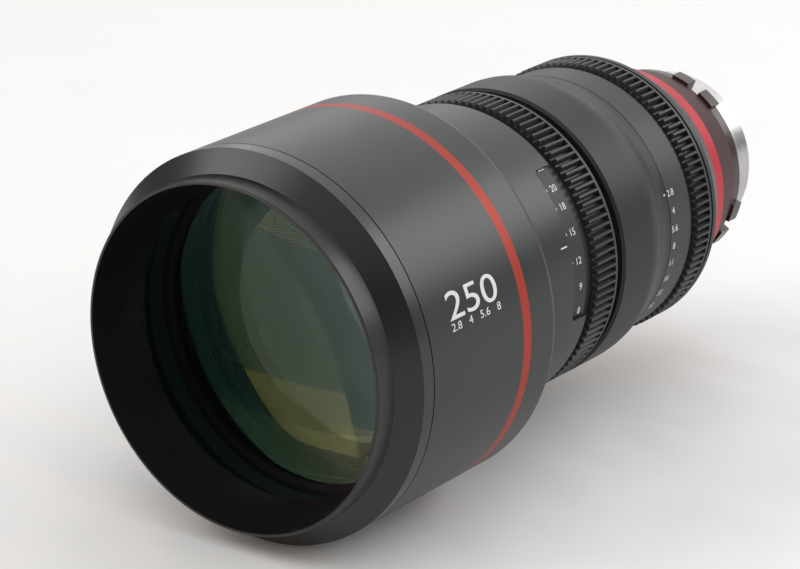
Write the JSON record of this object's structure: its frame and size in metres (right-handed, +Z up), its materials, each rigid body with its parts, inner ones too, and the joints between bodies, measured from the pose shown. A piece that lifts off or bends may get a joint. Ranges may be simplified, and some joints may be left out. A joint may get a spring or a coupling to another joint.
{
  "type": "cine telephoto lens",
  "caption": "Long prime lens for cine cameras with a flared hood ring, geared focus and iris rings and a four-lug bayonet flange.",
  "frame": {"origin": "centre of the mount flange's seat face, on the optical axis", "axes": "+Y along the optical axis towards the subject, +Z up as the lens lies on its side, scale and lettering on the -X side"},
  "size_m": [0.114, 0.228, 0.114],
  "materials": {
    "black_anodised": "satin black anodised",
    "hood_black": "satin black anodised",
    "gear_black": "satin black anodised, cut teeth",
    "inner_black": "matt black anodised against stray light",
    "red_anodised": "red anodised, satin",
    "mount_steel": "turned stainless steel",
    "steel": "steel",
    "blade_steel": "black spring steel",
    "bushing_brass": "turned",
    "roller_plastic": "acetal",
    "coated_glass": "optical glass, multi coated"
  },
  "bodies": {
    "barrel": {"hood_ring": "hood_black", "front_barrel": "black_anodised", "front_accent_ring": "red_anodised", "shoulder_barrel": "black_anodised", "barrel_screws": "steel", "window_sleeve": "black_anodised", "front_cell": "inner_black", "front_element": "coated_glass", "front_retainer": "inner_black", "crown_element": "coated_glass", "flint_element": "coated_glass", "cell_retainer": "inner_black", "guide_barrel": "black_anodised", "focus_stop_pin": "steel", "rear_body": "black_anodised", "rear_tube": "black_anodised", "iris_base": "blade_steel", "iris_retainer": "blade_steel", "rear_bevel_ring": "black_anodised", "rear_accent_ring": "red_anodised", "mount_shim": "steel", "mount_flange": "mount_steel", "mount_screws": "steel", "rear_cell": "inner_black", "rear_inner_element": "coated_glass", "rear_outer_element": "coated_glass", "rear_inner_retainer": "inner_black", "rear_outer_retainer": "inner_black", "rear_baffle": "inner_black"},
    "focus_ring": {"focus_gear": "gear_black", "focus_key_screws": "steel", "focus_scale_drum": "black_anodised", "cam_sleeve": "black_anodised", "front_cam_bushing": "bushing_brass", "rear_cam_bushing": "bushing_brass"},
    "focus_group": {"focus_rollers": "roller_plastic", "focus_cell": "inner_black", "focus_rear_element": "coated_glass", "focus_spacer": "inner_black", "focus_front_element": "coated_glass", "focus_retainer": "inner_black"},
    "iris_ring": {"iris_gear": "gear_black", "iris_drive_post": "steel", "iris_rotor": "blade_steel"},
    "iris_blade_1": {"iris_blade_1": "blade_steel"},
    "iris_blade_2": {"iris_blade_2": "blade_steel"},
    "iris_blade_3": {"iris_blade_3": "blade_steel"},
    "iris_blade_4": {"iris_blade_4": "blade_steel"},
    "iris_blade_5": {"iris_blade_5": "blade_steel"},
    "iris_blade_6": {"iris_blade_6": "blade_steel"},
    "iris_blade_7": {"iris_blade_7": "blade_steel"},
    "iris_blade_8": {"iris_blade_8": "blade_steel"},
    "iris_blade_9": {"iris_blade_9": "blade_steel"}
  },
  "joints": [
    {"name": "focus_turn", "type": "hinge", "parent": "barrel", "child": "focus_ring", "pos_m": [0, 0.1, 0], "axis": [0, 1, 0], "range_deg": [-150, 120]},
    {"name": "focus_slide", "type": "slide", "parent": "barrel", "child": "focus_group", "axis": [0, 1, 0], "range_m": [-0.01115, 0.00892]},
    {"name": "iris_turn", "type": "hinge", "parent": "barrel", "child": "iris_ring", "pos_m": [0, 0.04, 0], "axis": [0, 1, 0], "range_deg": [0, 60]},
    {"name": "iris_blade_1_pivot", "type": "hinge", "parent": "barrel", "child": "iris_blade_1", "pos_m": [0, 0.04, 0.0285], "axis": [0, 1, 0], "range_deg": [0, 35.2]},
    {"name": "iris_blade_2_pivot", "type": "hinge", "parent": "barrel", "child": "iris_blade_2", "pos_m": [0.01832, 0.04, 0.02183], "axis": [0, 1, 0], "range_deg": [0, 35.2]},
    {"name": "iris_blade_3_pivot", "type": "hinge", "parent": "barrel", "child": "iris_blade_3", "pos_m": [0.02807, 0.04, 0.00495], "axis": [0, 1, 0], "range_deg": [0, 35.2]},
    {"name": "iris_blade_4_pivot", "type": "hinge", "parent": "barrel", "child": "iris_blade_4", "pos_m": [0.02468, 0.04, -0.01425], "axis": [0, 1, 0], "range_deg": [0, 35.2]},
    {"name": "iris_blade_5_pivot", "type": "hinge", "parent": "barrel", "child": "iris_blade_5", "pos_m": [0.00975, 0.04, -0.02678], "axis": [0, 1, 0], "range_deg": [0, 35.2]},
    {"name": "iris_blade_6_pivot", "type": "hinge", "parent": "barrel", "child": "iris_blade_6", "pos_m": [-0.00975, 0.04, -0.02678], "axis": [0, 1, 0], "range_deg": [0, 35.2]},
    {"name": "iris_blade_7_pivot", "type": "hinge", "parent": "barrel", "child": "iris_blade_7", "pos_m": [-0.02468, 0.04, -0.01425], "axis": [0, 1, 0], "range_deg": [0, 35.2]},
    {"name": "iris_blade_8_pivot", "type": "hinge", "parent": "barrel", "child": "iris_blade_8", "pos_m": [-0.02807, 0.04, 0.00495], "axis": [0, 1, 0], "range_deg": [0, 35.2]},
    {"name": "iris_blade_9_pivot", "type": "hinge", "parent": "barrel", "child": "iris_blade_9", "pos_m": [-0.01832, 0.04, 0.02183], "axis": [0, 1, 0], "range_deg": [0, 35.2]}
  ],
  "couplings": [
    {"joint": "focus_slide", "follows": "focus_turn", "m_per_rad": 0.0042441},
    {"joint": "iris_blade_1_pivot", "follows": "iris_turn", "ratio": 0.58333},
    {"joint": "iris_blade_2_pivot", "follows": "iris_turn", "ratio": 0.58333},
    {"joint": "iris_blade_3_pivot", "follows": "iris_turn", "ratio": 0.58333},
    {"joint": "iris_blade_4_pivot", "follows": "iris_turn", "ratio": 0.58333},
    {"joint": "iris_blade_5_pivot", "follows": "iris_turn", "ratio": 0.58333},
    {"joint": "iris_blade_6_pivot", "follows": "iris_turn", "ratio": 0.58333},
    {"joint": "iris_blade_7_pivot", "follows": "iris_turn", "ratio": 0.58333},
    {"joint": "iris_blade_8_pivot", "follows": "iris_turn", "ratio": 0.58333},
    {"joint": "iris_blade_9_pivot", "follows": "iris_turn", "ratio": 0.58333}
  ]
}
